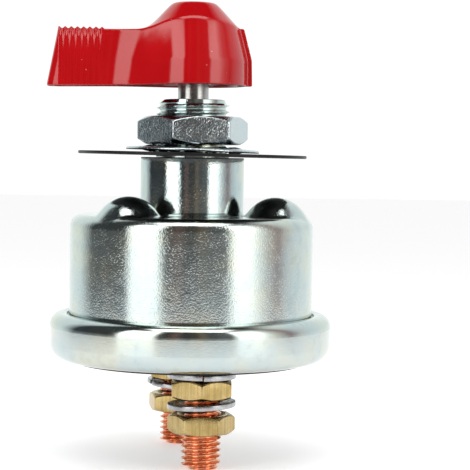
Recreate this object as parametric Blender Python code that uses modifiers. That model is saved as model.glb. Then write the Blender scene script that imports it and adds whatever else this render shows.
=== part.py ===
"""Battery master switch for panel mounting: a drawn steel can with a threaded stem,
two copper terminal studs underneath and a die-cast lever on top.

Turning the lever by a quarter turn drives a cross pin along the ramps of a fixed cam,
which pushes the contact bridge down on the stud heads.

Frame: metres, +Z up along the stem, origin on the axis at the stem's shoulder, where the
panel is clamped. The lever points along -X when the switch is off.
"""

import math

import bmesh
import bpy
from mathutils import Matrix, Vector

MM = 0.001

# Driving dimensions, in millimetres and degrees.
SHEET = 1.5  # steel sheet of the can
CAN_R = 31.5
CAN_TOP = -14.9
CAN_CORNER = 3.1
GROOVE_Z = -42.1
SKIRT_R = 36.5
SKIRT_TOP = -41.4
SKIRT_BOTTOM = -52.2
SKIRT_TOP_ROUND = 3.2
SKIRT_LOW_ROUND = 4.0
LIP_R = 31.3
DOME_R = 8.66  # sphere of each pressed dome
DOME_PITCH_R = 22.3
DOME_PEAK = -9.9
DOME_AZIMUTHS = (-15.0, -135.0, 105.0)

STEM_R = 13.45
STEM_THREAD_R = 9.525
STEM_TOP = 14.9
STEM_BORE_R = 4.3
STAKE_R = 12.4
STAKE_BOTTOM = -18.2

NUT_FLATS = 25.4
NUT_Z = (3.35, 10.6)
LOCK_WASHER_R = 17.3
PLATE_R = 29.6
PLATE_Z = (0.35, 1.15)
PLATE_LEAN = 0.7  # the plate hangs loose on the stem until a panel is clamped

STUD_R = 5.0
STUD_PITCH_R = 19.2
STUD_AZIMUTH = -81.0
STUD_END = -77.4
HEAD_SIDE = 13.0
HEAD_Z = (-41.0, -37.4)
TERMINAL_FLATS = 14.5
UPPER_WASHER_Z = -54.8
UPPER_NUT_Z = (-59.9, -55.1)
LOWER_WASHER_Z = -62.3
LOWER_NUT_Z = (-68.6, -63.8)
SPLIT_WASHER_R = (5.35, 8.6)
SPLIT_WASHER_THICK = 1.5

BASE_R = 34.8
BASE_BOTTOM = -53.0
RIM_TOP = -44.5
PLATFORM_R = 27.3
PLATFORM_TOP = -41.3
SPRING_POCKET_R = 9.2
SPRING_POCKET_FLOOR = -47.5
CHANNEL_HALF = 6.9
LINER_R = (27.9, 29.7)

SHAFT_R = 4.0
SHAFT_TOP = 35.4
SHOULDER_Z = -26.0
NECK_R = 3.0
NECK_END = -37.5
O_RING_Z = 9.0
PIN_R = 2.0
PIN_REACH = 15.0
PIN_Z = -22.5
THROW = 90.0  # degrees of lever travel from off to on
DROP = 3.0  # how far the throw pushes shaft and bridge down

CAM_R = 28.5
CAM_Z = (-26.5, -16.7)
CAM_HOLE_R = 9.0
CAM_POCKET_R = 16.2
CAM_STOP = 15.5  # degrees from the pin's line to the stop wall

BRIDGE_Z = (-32.9, -29.9)
BRIDGE_HALF = (25.5, 6.5)
PAD_Z = (-34.1, -33.1)

LEVER_BOTTOM = 18.6
ARM_TOP = 33.0
HUB_TOP = 40.1
ARM_TIP = (-37.8, -35.2)  # x of the tip at the bottom edge and at the top edge
ARM_CORNER = -34.6  # x of the corners on each side of the tip
ARM_SAG = 0.6  # how far the underside falls towards the tip
ARM_HALF = (4.5, 3.5)
LEVER_WALL = 1.9
HOLLOW_HEIGHT = 9.0
BOSS_R = 6.8
RIB_X = (15.1, 12.8)
RIB_HALF = 1.7
GAP = 0.3

FINE = 48
MEDIUM = 32
SMALL = 24


def clear_scene():
    for obj in list(bpy.data.objects):
        bpy.data.objects.remove(obj)


def collection(name):
    made = bpy.data.collections.new(name)
    bpy.context.scene.collection.children.link(made)
    return made


def material(name, colour, roughness, metallic):
    made = bpy.data.materials.new(name)
    made.use_nodes = True
    shader = made.node_tree.nodes["Principled BSDF"]
    shader.inputs["Base Color"].default_value = (*colour, 1.0)
    shader.inputs["Roughness"].default_value = roughness
    shader.inputs["Metallic"].default_value = metallic
    return made


clear_scene()
SWITCH = collection("battery_switch")
CUTTERS = collection("cutters")
ZINC = material("zinc_plate", (0.80, 0.82, 0.82), 0.22, 1.0)
STEEL = material("spring_steel", (0.62, 0.62, 0.63), 0.30, 1.0)
BLACK_PLATE = material("black_plate", (0.02, 0.02, 0.022), 0.45, 0.0)
RED_PAINT = material("red_paint", (0.70, 0.01, 0.02), 0.18, 0.0)
BRASS = material("brass", (0.72, 0.55, 0.26), 0.28, 1.0)
COPPER = material("copper", (0.86, 0.38, 0.22), 0.25, 1.0)
PHENOLIC = material("phenolic", (0.03, 0.027, 0.025), 0.55, 0.0)
RUBBER = material("rubber", (0.025, 0.025, 0.025), 0.75, 0.0)
FIBRE = material("fibre", (0.45, 0.13, 0.07), 0.80, 0.0)


def smooth(obj, angle=35.0):
    obj.data.shade_smooth()
    obj.data.set_sharp_from_angle(angle=math.radians(angle))


def placed(name, mesh, finish=None, centre=(0, 0, 0), turn=0.0, cutter=False):
    """An object of this mesh, turned about Z by degrees, at centre in millimetres."""
    obj = bpy.data.objects.new(name, mesh)
    (CUTTERS if cutter else SWITCH).objects.link(obj)
    obj.location = Vector(centre) * MM
    obj.rotation_euler = (0.0, 0.0, math.radians(turn))
    if finish is not None:
        mesh.materials.append(finish)
    if cutter:
        obj.hide_render = True
        obj.display_type = "WIRE"
    return obj


def arc(centre_r, centre_z, radius, start, end, steps):
    """Points of an arc in the (r, z) half plane, from start to end degrees."""
    angles = [math.radians(start + (end - start) * i / steps) for i in range(steps + 1)]
    return [(centre_r + radius * math.cos(a), centre_z + radius * math.sin(a)) for a in angles]


def turned(name, profile, finish=None, steps=FINE, closed=True, cutter=False):
    """A turned solid. The profile is (r, z) in millimetres, clockwise, so it runs down its
    outer side. An open profile starts and ends on the axis."""
    mesh = bpy.data.meshes.new(name)
    points = [(r * MM, 0.0, z * MM) for r, z in profile]
    last = len(points) if closed else len(points) - 1
    edges = [(i, (i + 1) % len(points)) for i in range(last)]
    mesh.from_pydata(points, edges, [])
    obj = placed(name, mesh, finish, cutter=cutter)
    screw = obj.modifiers.new("Turn", "SCREW")
    screw.steps = steps
    screw.render_steps = steps
    screw.use_merge_vertices = True
    screw.merge_threshold = 0.00001
    return obj


def ring(name, r_in, r_out, z_low, z_high, finish, steps=MEDIUM):
    """A flat ring or washer."""
    profile = [(r_in, z_high), (r_out, z_high), (r_out, z_low), (r_in, z_low)]
    return turned(name, profile, finish, steps)


def block(name, size, centre, finish=None, turn=0.0, cutter=False):
    """A box of this size, in millimetres."""
    mesh = bpy.data.meshes.new(name)
    shape = bmesh.new()
    bmesh.ops.create_cube(shape, size=1.0)
    bmesh.ops.scale(shape, vec=Vector(size) * MM, verts=shape.verts)
    shape.to_mesh(mesh)
    shape.free()
    return placed(name, mesh, finish, centre, turn, cutter)


def rod(name, radius, length, centre, tilt=None, finish=None, steps=SMALL, cutter=False):
    """A cylinder about its own centre, tilted by a rotation matrix from the Z axis."""
    mesh = bpy.data.meshes.new(name)
    shape = bmesh.new()
    bmesh.ops.create_cone(
        shape, cap_ends=True, segments=steps, radius1=radius * MM, radius2=radius * MM, depth=length * MM
    )
    if tilt is not None:
        bmesh.ops.transform(shape, matrix=tilt, verts=shape.verts)
    shape.to_mesh(mesh)
    shape.free()
    return placed(name, mesh, finish, centre, cutter=cutter)


def ball(name, radius, centre, keep_above=None):
    """A sphere cutter, cut off flat below keep_above (millimetres) where that is given."""
    mesh = bpy.data.meshes.new(name)
    shape = bmesh.new()
    bmesh.ops.create_uvsphere(shape, u_segments=SMALL, v_segments=16, radius=radius * MM)
    if keep_above is not None:
        plane = Vector((0.0, 0.0, (keep_above - centre[2]) * MM))
        geometry = shape.verts[:] + shape.edges[:] + shape.faces[:]
        bmesh.ops.bisect_plane(
            shape, geom=geometry, plane_co=plane, plane_no=(0.0, 0.0, 1.0), clear_inner=True
        )
        rim = [edge for edge in shape.edges if edge.is_boundary]
        bmesh.ops.contextual_create(shape, geom=rim)
        bmesh.ops.recalc_face_normals(shape, faces=shape.faces[:])
    shape.to_mesh(mesh)
    shape.free()
    return placed(name, mesh, centre=centre, cutter=True)


def swept(name, section, start, sweep, drop, finish=None, steps=SMALL, cutter=False):
    """A solid swept about Z: section is a (r, z) polygon at start degrees, carried through
    sweep degrees while it moves by drop millimetres along Z."""
    mesh = bpy.data.meshes.new(name)
    shape = bmesh.new()
    a = math.radians(start)
    corners = [
        shape.verts.new((r * math.cos(a) * MM, r * math.sin(a) * MM, z * MM)) for r, z in section
    ]
    face = shape.faces.new(corners)
    bmesh.ops.spin(
        shape,
        geom=[face],
        cent=(0.0, 0.0, 0.0),
        axis=(0.0, 0.0, 1.0),
        dvec=(0.0, 0.0, drop * MM / steps),
        angle=math.radians(sweep),
        steps=steps,
        use_duplicate=False,
    )
    bmesh.ops.recalc_face_normals(shape, faces=shape.faces[:])
    shape.to_mesh(mesh)
    shape.free()
    return placed(name, mesh, finish, cutter=cutter)


def torus(name, major, minor, z, finish, centre=(0, 0)):
    """A rubber ring, turned from a round section."""
    obj = turned(name, arc(major, z, minor, 360.0, 30.0, 11), finish, MEDIUM)
    obj.location = (centre[0] * MM, centre[1] * MM, 0.0)
    return obj


def combine(obj, other, operation):
    modifier = obj.modifiers.new(operation.title(), "BOOLEAN")
    modifier.operation = operation
    modifier.object = other
    modifier.solver = "EXACT"
    return obj


def cut(obj, other):
    return combine(obj, other, "DIFFERENCE")


def join(obj, other):
    return combine(obj, other, "UNION")


def polar(radius, azimuth):
    a = math.radians(azimuth)
    return (radius * math.cos(a), radius * math.sin(a))


def along_studs(x, y):
    """A point of the terminals' own axes: x towards the front stud, y across."""
    a = math.radians(STUD_AZIMUTH)
    return (x * math.cos(a) - y * math.sin(a), x * math.sin(a) + y * math.cos(a))


def hex_nut(name, flats, z_low, z_high, bore_r, finish, centre=(0, 0), turn=0.0):
    """A hexagon with both faces chamfered by a turned shape, and a plain bore."""
    corner_r = flats / math.sqrt(3)
    middle = (z_low + z_high) / 2
    half = (z_high - z_low) / 2
    nut = rod(name, corner_r, 2 * half, (*centre, middle), finish=finish, steps=6)
    nut.rotation_euler = (0.0, 0.0, math.radians(turn))
    face_r = flats / 2 * 0.97
    fall = (corner_r - face_r) * math.tan(math.radians(30.0))
    lens = [
        (0.0, half + 0.01),
        (face_r, half + 0.01),
        (corner_r + 0.2, half - fall),
        (corner_r + 0.2, fall - half),
        (face_r, -half - 0.01),
        (0.0, -half - 0.01),
    ]
    chamfer = turned(name + "_chamfer", lens, steps=MEDIUM, closed=False, cutter=True)
    chamfer.location = (centre[0] * MM, centre[1] * MM, middle * MM)
    combine(nut, chamfer, "INTERSECT")
    cut(nut, rod(name + "_bore", bore_r, 2 * half + 2, (*centre, middle), steps=SMALL, cutter=True))
    return nut


# --- housing -------------------------------------------------------------------------


def housing_can():
    """Can drawn from sheet: flat top with a hole for the stem, three pressed domes, and a
    wider skirt whose lower edge is rolled in under the base."""
    inner_r = CAN_R - SHEET
    corner = (CAN_R - CAN_CORNER, CAN_TOP - CAN_CORNER)
    skirt_top_r = SKIRT_R - SKIRT_TOP_ROUND
    skirt_low_r = SKIRT_R - SKIRT_LOW_ROUND
    skirt_low_z = SKIRT_BOTTOM + SKIRT_LOW_ROUND
    hole_r = 11.3
    profile = [(hole_r, CAN_TOP)]
    profile += arc(*corner, CAN_CORNER, 90.0, 0.0, 4)
    profile += [(CAN_R, GROOVE_Z)]
    profile += arc(skirt_top_r, SKIRT_TOP - SKIRT_TOP_ROUND, SKIRT_TOP_ROUND, 90.0, 0.0, 4)
    profile += arc(skirt_low_r, skirt_low_z, SKIRT_LOW_ROUND, 0.0, -90.0, 5)
    profile += [(LIP_R, SKIRT_BOTTOM), (LIP_R, SKIRT_BOTTOM + SHEET - 0.1)]
    profile += arc(skirt_low_r, skirt_low_z, SKIRT_LOW_ROUND - SHEET + 0.1, -90.0, 0.0, 4)
    profile += [(SKIRT_R - SHEET + 0.1, SKIRT_TOP - 2.6), (SKIRT_R - 2.5, SKIRT_TOP - SHEET)]
    profile += [(inner_r, SKIRT_TOP - SHEET)]
    profile += arc(*corner, CAN_CORNER - SHEET, 0.0, 90.0, 3)
    profile += [(hole_r, CAN_TOP - SHEET)]
    can = turned("housing_can", profile, ZINC)
    dome_z = DOME_PEAK - DOME_R
    for i, azimuth in enumerate(DOME_AZIMUTHS):
        centre = (*polar(DOME_PITCH_R, azimuth), dome_z)
        join(can, ball(f"dome_{i}", DOME_R, centre, keep_above=CAN_TOP - 0.7))
        cut(can, ball(f"dome_inside_{i}", DOME_R - SHEET, centre))
    return can


def mounting_stem():
    """Turned stem: thread above the shoulder, and a staked collar inside the can."""
    profile = [
        (STEM_BORE_R, STEM_TOP),
        (STEM_THREAD_R - 0.8, STEM_TOP),
        (STEM_THREAD_R, STEM_TOP - 0.8),
        (STEM_THREAD_R, 0.0),
        (STEM_R - 0.4, 0.0),
        (STEM_R, -0.4),
        (STEM_R, CAN_TOP + GAP),
        (11.0, CAN_TOP + GAP),
        (11.0, CAN_TOP - SHEET - GAP),
        (STAKE_R, CAN_TOP - SHEET - GAP),
        (STAKE_R, STAKE_BOTTOM + 0.3),
        (STAKE_R - 0.3, STAKE_BOTTOM),
        (STEM_BORE_R, STAKE_BOTTOM),
    ]
    return turned("mounting_stem", profile, ZINC, MEDIUM)


def lock_washer():
    """Internal-tooth washer: an outer band with teeth pointing in."""
    teeth = 10
    band_r = 13.6
    tooth_r = 10.1
    washer = ring("stem_lock_washer", tooth_r, LOCK_WASHER_R, 1.6, 2.6, ZINC, FINE)
    for i in range(teeth):
        angle = 360.0 * i / teeth
        slot = swept(
            f"tooth_slot_{i}",
            [(tooth_r - 1, 0.5), (band_r, 0.5), (band_r, 3.5), (tooth_r - 1, 3.5)],
            angle,
            360.0 / teeth * 0.45,
            0.0,
            steps=2,
            cutter=True,
        )
        cut(washer, slot)
    return washer


def base():
    """Moulded base: a disc in the skirt, a platform with two ribs on each side that keep
    stud heads and bridge square, a spring pocket and two stud holes."""
    low_r = SKIRT_R - SKIRT_LOW_ROUND
    low_z = SKIRT_BOTTOM + SKIRT_LOW_ROUND
    profile = [(0.0, SPRING_POCKET_FLOOR), (SPRING_POCKET_R, SPRING_POCKET_FLOOR)]
    profile += [(SPRING_POCKET_R, PLATFORM_TOP), (PLATFORM_R, PLATFORM_TOP), (PLATFORM_R, RIM_TOP)]
    profile += [(BASE_R, RIM_TOP)]
    profile += arc(low_r, low_z, BASE_R - low_r, 0.0, -90.0, 3)
    profile += [(LIP_R - GAP, low_z - BASE_R + low_r), (LIP_R - GAP, BASE_BOTTOM + 0.3)]
    profile += [(LIP_R - GAP - 0.3, BASE_BOTTOM), (0.0, BASE_BOTTOM)]
    moulding = turned("insulating_base", profile, PHENOLIC, closed=False)
    rib_top = -31.0
    rib_size = (14.0, 3.0, rib_top - PLATFORM_TOP + 1.0)
    for end in (-1, 1):
        for side in (-1, 1):
            x, y = along_studs(end * 17.0, side * (CHANNEL_HALF + 1.5))
            centre = (x, y, (rib_top + PLATFORM_TOP - 1.0) / 2)
            rib = block(f"rib_{end}_{side}", rib_size, centre, turn=STUD_AZIMUTH, cutter=True)
            join(moulding, rib)
        hole = (*along_studs(end * STUD_PITCH_R, 0.0), -47.0)
        seat = (hole[0], hole[1], PLATFORM_TOP)
        cut(moulding, rod(f"stud_hole_{end}", STUD_R + GAP, 20.0, hole, cutter=True))
        cut(moulding, rod(f"seal_seat_{end}", 7.2, 3.6, seat, cutter=True))
    return moulding


def cam_ring():
    """Fixed cam: two ramps for the cross pin with a stop at each end, and three bosses
    that sit in the can's domes and keep it from turning."""
    profile = [
        (13.0, CAM_Z[1]),
        (CAM_R, CAM_Z[1]),
        (CAM_R, CAM_Z[0]),
        (CAM_HOLE_R, CAM_Z[0]),
        (CAM_HOLE_R, STAKE_BOTTOM - 0.4),
        (13.0, STAKE_BOTTOM - 0.4),
    ]
    cam = turned("cam_ring", profile, PHENOLIC)
    for i, azimuth in enumerate(DOME_AZIMUTHS):
        centre = (*polar(DOME_PITCH_R, azimuth), DOME_PEAK - DOME_R)
        boss = ball(f"cam_boss_{i}", DOME_R - SHEET - 1.0, centre, keep_above=CAM_Z[1] - 1.0)
        join(cam, boss)
    slope = DROP / THROW
    roof = PIN_Z + PIN_R + GAP + slope * CAM_STOP
    floor = CAM_Z[0] - 4.0
    section = [
        (CAM_HOLE_R - 1, floor),
        (CAM_POCKET_R, floor),
        (CAM_POCKET_R, roof),
        (CAM_HOLE_R - 1, roof),
    ]
    sweep = THROW + 2 * CAM_STOP
    for i in range(2):
        start = 180.0 * i + CAM_STOP
        cut(cam, swept(f"ramp_{i}", section, start, -sweep, -slope * sweep, cutter=True))
    return cam


def housing_parts():
    housing_can()
    mounting_stem()
    plate = ring("face_plate", STEM_THREAD_R + 0.45, PLATE_R, *PLATE_Z, BLACK_PLATE, FINE)
    plate.rotation_euler = (0.0, math.radians(PLATE_LEAN), 0.0)
    lock_washer()
    hex_nut("stem_nut", NUT_FLATS, *NUT_Z, STEM_THREAD_R + 0.25, ZINC, turn=-20.0)
    base()
    ring("base_gasket", 30.2, 33.8, -44.2, -43.2, RUBBER, FINE)
    ring("arc_liner", *LINER_R, -44.2, CAM_Z[0] - GAP, FIBRE, FINE)
    cam_ring()


# --- terminals -----------------------------------------------------------------------


def stud(name, x, y):
    """Copper stud with a square head that is the fixed contact."""
    profile = [
        (0.0, HEAD_Z[0] + 1.0),
        (STUD_R, HEAD_Z[0] + 1.0),
        (STUD_R, STUD_END + 0.9),
        (STUD_R - 0.9, STUD_END),
        (0.0, STUD_END),
    ]
    shank = turned(name, profile, COPPER, SMALL, closed=False)
    shank.location = (x * MM, y * MM, 0.0)
    height = HEAD_Z[1] - HEAD_Z[0]
    centre = (x, y, sum(HEAD_Z) / 2)
    head = block(name + "_head", (HEAD_SIDE, HEAD_SIDE, height), centre, turn=STUD_AZIMUTH, cutter=True)
    return join(shank, head)


def split_washer(name, x, y, z_low, split_azimuth, rise):
    """Spring washer: a square wire bent to one turn, with its ends a little apart."""
    top = z_low + SPLIT_WASHER_THICK - rise
    section = [
        (SPLIT_WASHER_R[0], z_low),
        (SPLIT_WASHER_R[1], z_low),
        (SPLIT_WASHER_R[1], top),
        (SPLIT_WASHER_R[0], top),
    ]
    opening = 8.0
    washer = swept(name, section, split_azimuth + opening / 2, 360.0 - opening, rise, STEEL)
    washer.location = (x * MM, y * MM, 0.0)
    return washer


def terminals():
    """Front and rear terminal: stud, seal, and two nuts with a spring washer over each."""
    for end, label, lower_turn, split in ((1, "front", 30.0, -95.0), (-1, "rear", 40.0, 60.0)):
        x, y = along_studs(end * STUD_PITCH_R, 0.0)
        stud(f"terminal_stud_{label}", x, y)
        torus(f"stud_seal_{label}", 6.2, 0.75, PLATFORM_TOP - 0.9, RUBBER, (x, y))
        split_washer(f"spring_washer_upper_{label}", x, y, UPPER_WASHER_Z, split, 0.2)
        hex_nut(f"terminal_nut_upper_{label}", TERMINAL_FLATS, *UPPER_NUT_Z, STUD_R + 0.2, BRASS, (x, y), 0.0)
        split_washer(f"spring_washer_lower_{label}", x, y, LOWER_WASHER_Z, split + 150.0, 0.3)
        hex_nut(
            f"terminal_nut_lower_{label}",
            TERMINAL_FLATS,
            *LOWER_NUT_Z,
            STUD_R + 0.2,
            BRASS,
            (x, y),
            lower_turn,
        )


# --- moving contact ------------------------------------------------------------------


def contact_carriage():
    """The bridge with its two pads, held between two insulators under the shaft's shoulder."""
    size = (2 * BRIDGE_HALF[0], 2 * BRIDGE_HALF[1], BRIDGE_Z[1] - BRIDGE_Z[0])
    bar = block("contact_bridge", size, (0, 0, sum(BRIDGE_Z) / 2), COPPER, STUD_AZIMUTH)
    cut(bar, rod("bridge_hole", 6.5, 10.0, (0, 0, sum(BRIDGE_Z) / 2), cutter=True))
    for end, label in ((1, "front"), (-1, "rear")):
        x, y = along_studs(end * STUD_PITCH_R, 0.0)
        centre = (x, y, sum(PAD_Z) / 2)
        rod(f"contact_pad_{label}", 5.2, PAD_Z[1] - PAD_Z[0], centre, finish=BRASS)
    collar = [(3.3, -28.4), (9.0, -28.4), (9.0, -29.6), (6.2, -29.6), (6.2, -32.9), (3.3, -32.9)]
    turned("bridge_insulator_upper", collar, FIBRE, SMALL)
    ring("bridge_insulator_lower", 3.3, 9.0, -34.6, -33.2, FIBRE, SMALL)
    ring("spring_seat", 5.4, 9.0, -35.7, -34.9, STEEL, SMALL)
    disc_spring = [(3.4, -27.2), (7.4, -27.7), (7.4, -28.2), (3.4, -27.7)]
    turned("pressure_disc_spring", disc_spring, STEEL, SMALL)


def return_spring():
    """Round wire coil that lifts the bridge when the lever goes back to off."""
    wire_r = 0.8
    mean_r = 7.4
    z_low = SPRING_POCKET_FLOOR + GAP + wire_r
    z_high = -36.0 - wire_r
    turns = 3.75
    per_turn = 14
    count = int(turns * per_turn)
    curve = bpy.data.curves.new("return_spring", "CURVE")
    curve.dimensions = "3D"
    curve.bevel_depth = wire_r * MM
    curve.bevel_resolution = 1
    curve.use_fill_caps = True
    spline = curve.splines.new("POLY")
    spline.points.add(count)
    for i, point in enumerate(spline.points):
        a = 2 * math.pi * turns * i / count
        z = z_low + (z_high - z_low) * i / count
        point.co = (mean_r * math.cos(a) * MM, mean_r * math.sin(a) * MM, z * MM, 1.0)
    curve.materials.append(STEEL)
    spring = bpy.data.objects.new("return_spring", curve)
    SWITCH.objects.link(spring)
    return spring


# --- lever and shaft -----------------------------------------------------------------


def shaft():
    """Steel shaft: a groove for the seal, a cross hole for the pin, and a neck that turns
    in the bridge's insulators and ends in a clip groove."""
    profile = [(0.0, SHAFT_TOP), (SHAFT_R - 0.5, SHAFT_TOP), (SHAFT_R, SHAFT_TOP - 0.5)]
    profile += [(SHAFT_R, O_RING_Z + 0.9), (2.8, O_RING_Z + 0.9)]
    profile += [(2.8, O_RING_Z - 0.9), (SHAFT_R, O_RING_Z - 0.9)]
    profile += [(SHAFT_R, SHOULDER_Z), (NECK_R, SHOULDER_Z)]
    profile += [(NECK_R, -34.8), (2.3, -34.8), (2.3, -35.6), (NECK_R, -35.6)]
    profile += [(NECK_R, NECK_END + 0.4), (NECK_R - 0.4, NECK_END), (0.0, NECK_END)]
    bar = turned("shaft", profile, STEEL, SMALL, closed=False)
    across = Matrix.Rotation(math.radians(90.0), 4, "Y")
    cut(bar, rod("pin_hole", PIN_R + 0.1, 20.0, (0, 0, PIN_Z), across, steps=16, cutter=True))
    rod("drive_pin", PIN_R, 2 * PIN_REACH, (0, 0, PIN_Z), across, STEEL, 16)
    torus("shaft_seal", 3.58, 0.6, O_RING_Z, RUBBER)
    ring("thrust_washer", 3.3, 7.4, -27.0, -26.2, STEEL, SMALL)
    section = [(2.55, -35.4), (4.9, -35.4), (4.9, -35.0), (2.55, -35.0)]
    swept("retaining_clip", section, 30.0, 300.0, 0.0, STEEL)


def lever():
    """Die-cast lever: a round hub with a sloping top, a tapered grip arm, a short pointer
    rib opposite the arm, a blind shaft hole and a hollow underside."""
    hub = [(0.0, HUB_TOP), (4.9, HUB_TOP), (10.3, 34.9), (13.3, 25.0), (13.8, LEVER_BOTTOM)]
    hub += [(0.0, LEVER_BOTTOM)]
    body = turned("lever", hub, RED_PAINT, FINE, closed=False)
    height = ARM_TOP - LEVER_BOTTOM
    middle = LEVER_BOTTOM + height / 2
    arm = block("lever_arm", (1.0, 1.0, height), (0, 0, middle), cutter=True)
    shape = bmesh.new()
    shape.from_mesh(arm.data)
    geometry = shape.verts[:] + shape.edges[:] + shape.faces[:]
    bmesh.ops.bisect_plane(shape, geom=geometry, plane_co=(0, 0, 0), plane_no=(0, 1, 0))
    for vertex in shape.verts:
        high = vertex.co.z > 0
        tip = abs(vertex.co.y) < 0.1 * MM
        if vertex.co.x < 0:
            vertex.co.x = (ARM_TIP[high] if tip else ARM_CORNER) * MM
            vertex.co.z -= 0.0 if high else ARM_SAG * MM
        else:
            vertex.co.x = 0.0
        if not tip:
            vertex.co.y = math.copysign(ARM_HALF[high] * MM, vertex.co.y)
    shape.to_mesh(arm.data)
    shape.free()
    join(body, arm)
    slope = block("lever_slope", (1.0, 1.0, 1.0), (0, 0, 0), cutter=True)
    for vertex in slope.data.vertices:
        outer = vertex.co.x < 0
        high = vertex.co.z > 0
        vertex.co.x = (-13.4 if outer else -2.0) * MM
        vertex.co.z = ((ARM_TOP - 0.3 if outer else 39.4) if high else ARM_TOP - 6.0) * MM
        vertex.co.y = math.copysign((3.2 if high else 3.6) * MM, vertex.co.y)
    join(body, slope)
    rib = block("lever_rib", (1.0, 1.0, height), (0, 0, middle), cutter=True)
    for vertex in rib.data.vertices:
        at_top = vertex.co.z > 0
        vertex.co.x = (RIB_X[at_top] if vertex.co.x > 0 else 5.0) * MM
        vertex.co.y = math.copysign(RIB_HALF * MM, vertex.co.y)
    join(body, rib)
    bore_length = SHAFT_TOP + GAP - LEVER_BOTTOM + 2.0
    bore = (0, 0, SHAFT_TOP + GAP - bore_length / 2)
    cut(body, rod("lever_bore", SHAFT_R + GAP, bore_length, bore, cutter=True))
    hollow_top = LEVER_BOTTOM + HOLLOW_HEIGHT
    hollow = [(BOSS_R, hollow_top), (10.2, hollow_top), (11.5, LEVER_BOTTOM - 1.0)]
    hollow += [(BOSS_R, LEVER_BOTTOM - 1.0)]
    cut(body, turned("lever_hollow", hollow, cutter=True))
    arm_hollow = (24.0, 2 * (ARM_HALF[1] - LEVER_WALL + 0.6), HOLLOW_HEIGHT + 2.0)
    centre = (-21.5, 0, hollow_top - arm_hollow[2] / 2)
    cut(body, block("arm_hollow", arm_hollow, centre, cutter=True))
    sideways = Matrix.Rotation(math.radians(90.0), 4, "X")
    cut(body, rod("screw_hole", 2.6, 12.0, (0, 9.0, 25.5), sideways, steps=16, cutter=True))
    screw = rod("lever_set_screw", 2.35, 6.6, (0, 7.7, 25.5), sideways, STEEL, 16)
    cut(screw, rod("screw_socket", 1.25, 5.0, (0, 11.0, 25.5), sideways, steps=6, cutter=True))


housing_parts()
terminals()
contact_carriage()
return_spring()
shaft()
lever()
for part in SWITCH.objects:
    if part.type == "MESH":
        smooth(part)
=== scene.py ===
"""Looks of a panel-mounted battery switch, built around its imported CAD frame.

Shapes are worked out in millimetres and become metres when a mesh is made. Everything
stands on the stem's axis, and the stem's shoulder is at z = 0.
"""

import math

import bmesh
import bpy
import numpy as np
from mathutils import Matrix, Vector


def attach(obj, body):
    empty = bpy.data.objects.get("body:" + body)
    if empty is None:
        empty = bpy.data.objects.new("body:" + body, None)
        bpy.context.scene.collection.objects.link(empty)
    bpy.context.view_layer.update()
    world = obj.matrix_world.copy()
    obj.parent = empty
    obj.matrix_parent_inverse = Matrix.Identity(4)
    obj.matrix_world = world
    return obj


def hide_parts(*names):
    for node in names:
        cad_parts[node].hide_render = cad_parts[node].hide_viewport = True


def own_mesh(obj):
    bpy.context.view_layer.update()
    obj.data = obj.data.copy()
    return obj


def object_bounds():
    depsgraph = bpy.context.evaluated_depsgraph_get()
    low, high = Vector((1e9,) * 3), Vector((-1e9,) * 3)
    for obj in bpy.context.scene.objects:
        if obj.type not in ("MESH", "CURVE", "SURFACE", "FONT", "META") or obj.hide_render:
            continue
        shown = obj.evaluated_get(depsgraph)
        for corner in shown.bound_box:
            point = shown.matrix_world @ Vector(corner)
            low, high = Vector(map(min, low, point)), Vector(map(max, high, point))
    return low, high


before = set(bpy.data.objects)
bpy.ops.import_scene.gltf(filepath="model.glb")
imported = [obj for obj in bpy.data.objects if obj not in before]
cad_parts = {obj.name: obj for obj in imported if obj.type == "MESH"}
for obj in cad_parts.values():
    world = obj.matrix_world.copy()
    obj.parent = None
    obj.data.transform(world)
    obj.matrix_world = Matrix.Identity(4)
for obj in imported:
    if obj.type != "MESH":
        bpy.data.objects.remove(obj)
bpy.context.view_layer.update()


# The can is deep drawn from 1.5 mm steel sheet: a cup, three domes pressed up in its top,
# and a wider skirt whose edge is rolled in under the base. It is zinc plated, bright and a
# little mottled, with a faint blue and yellow passivation tint.

MM = 0.001
TURN = 2 * math.pi


def grid_mesh(name, points, closed_rows=False):
    """A mesh over a grid of points, given as rows by columns by xyz in metres. Columns run
    round the piece and meet; rows run from pole to pole, or meet too."""
    rows, columns, _ = points.shape
    row = np.arange(rows if closed_rows else rows - 1)[:, None]
    below = (row + 1) % rows
    column = np.arange(columns)
    beside = (column + 1) % columns
    corners = [(row, column), (below, column), (below, beside), (row, beside)]
    faces = np.stack([i * columns + j for i, j in corners], axis=-1).reshape(-1, 4)
    mesh = bpy.data.meshes.new(name)
    mesh.from_pydata(points.reshape(-1, 3).tolist(), [], faces.tolist())
    return mesh


def skin(name, points, body, closed_rows=False, sharp=35.0):
    """A closed piece over a grid of points in millimetres. Points that fall on one spot
    become one vertex, so a pole closes itself."""
    mesh = grid_mesh(name, points * MM, closed_rows)
    form = bmesh.new()
    form.from_mesh(mesh)
    bmesh.ops.remove_doubles(form, verts=form.verts, dist=2e-6)
    bmesh.ops.recalc_face_normals(form, faces=form.faces)
    form.to_mesh(mesh)
    form.free()
    mesh.shade_smooth()
    mesh.set_sharp_from_angle(angle=math.radians(sharp))
    piece = bpy.data.objects.new(name, mesh)
    bpy.context.scene.collection.objects.link(piece)
    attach(piece, body)
    return piece


def profile(*stretches):
    """Radius and height along an outline made of points and arcs. A stretch of four
    numbers more than a point is an arc: centre r, centre z, radius, start, end, steps."""
    path = []
    for stretch in stretches:
        if len(stretch) == 2:
            path.append(stretch)
            continue
        centre_r, centre_z, radius, start, end, steps = stretch
        angle = np.radians(np.linspace(start, end, steps + 1))
        arc = np.stack([centre_r + radius * np.cos(angle), centre_z + radius * np.sin(angle)], 1)
        path.extend(arc.tolist())
    return np.array(path)


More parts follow.
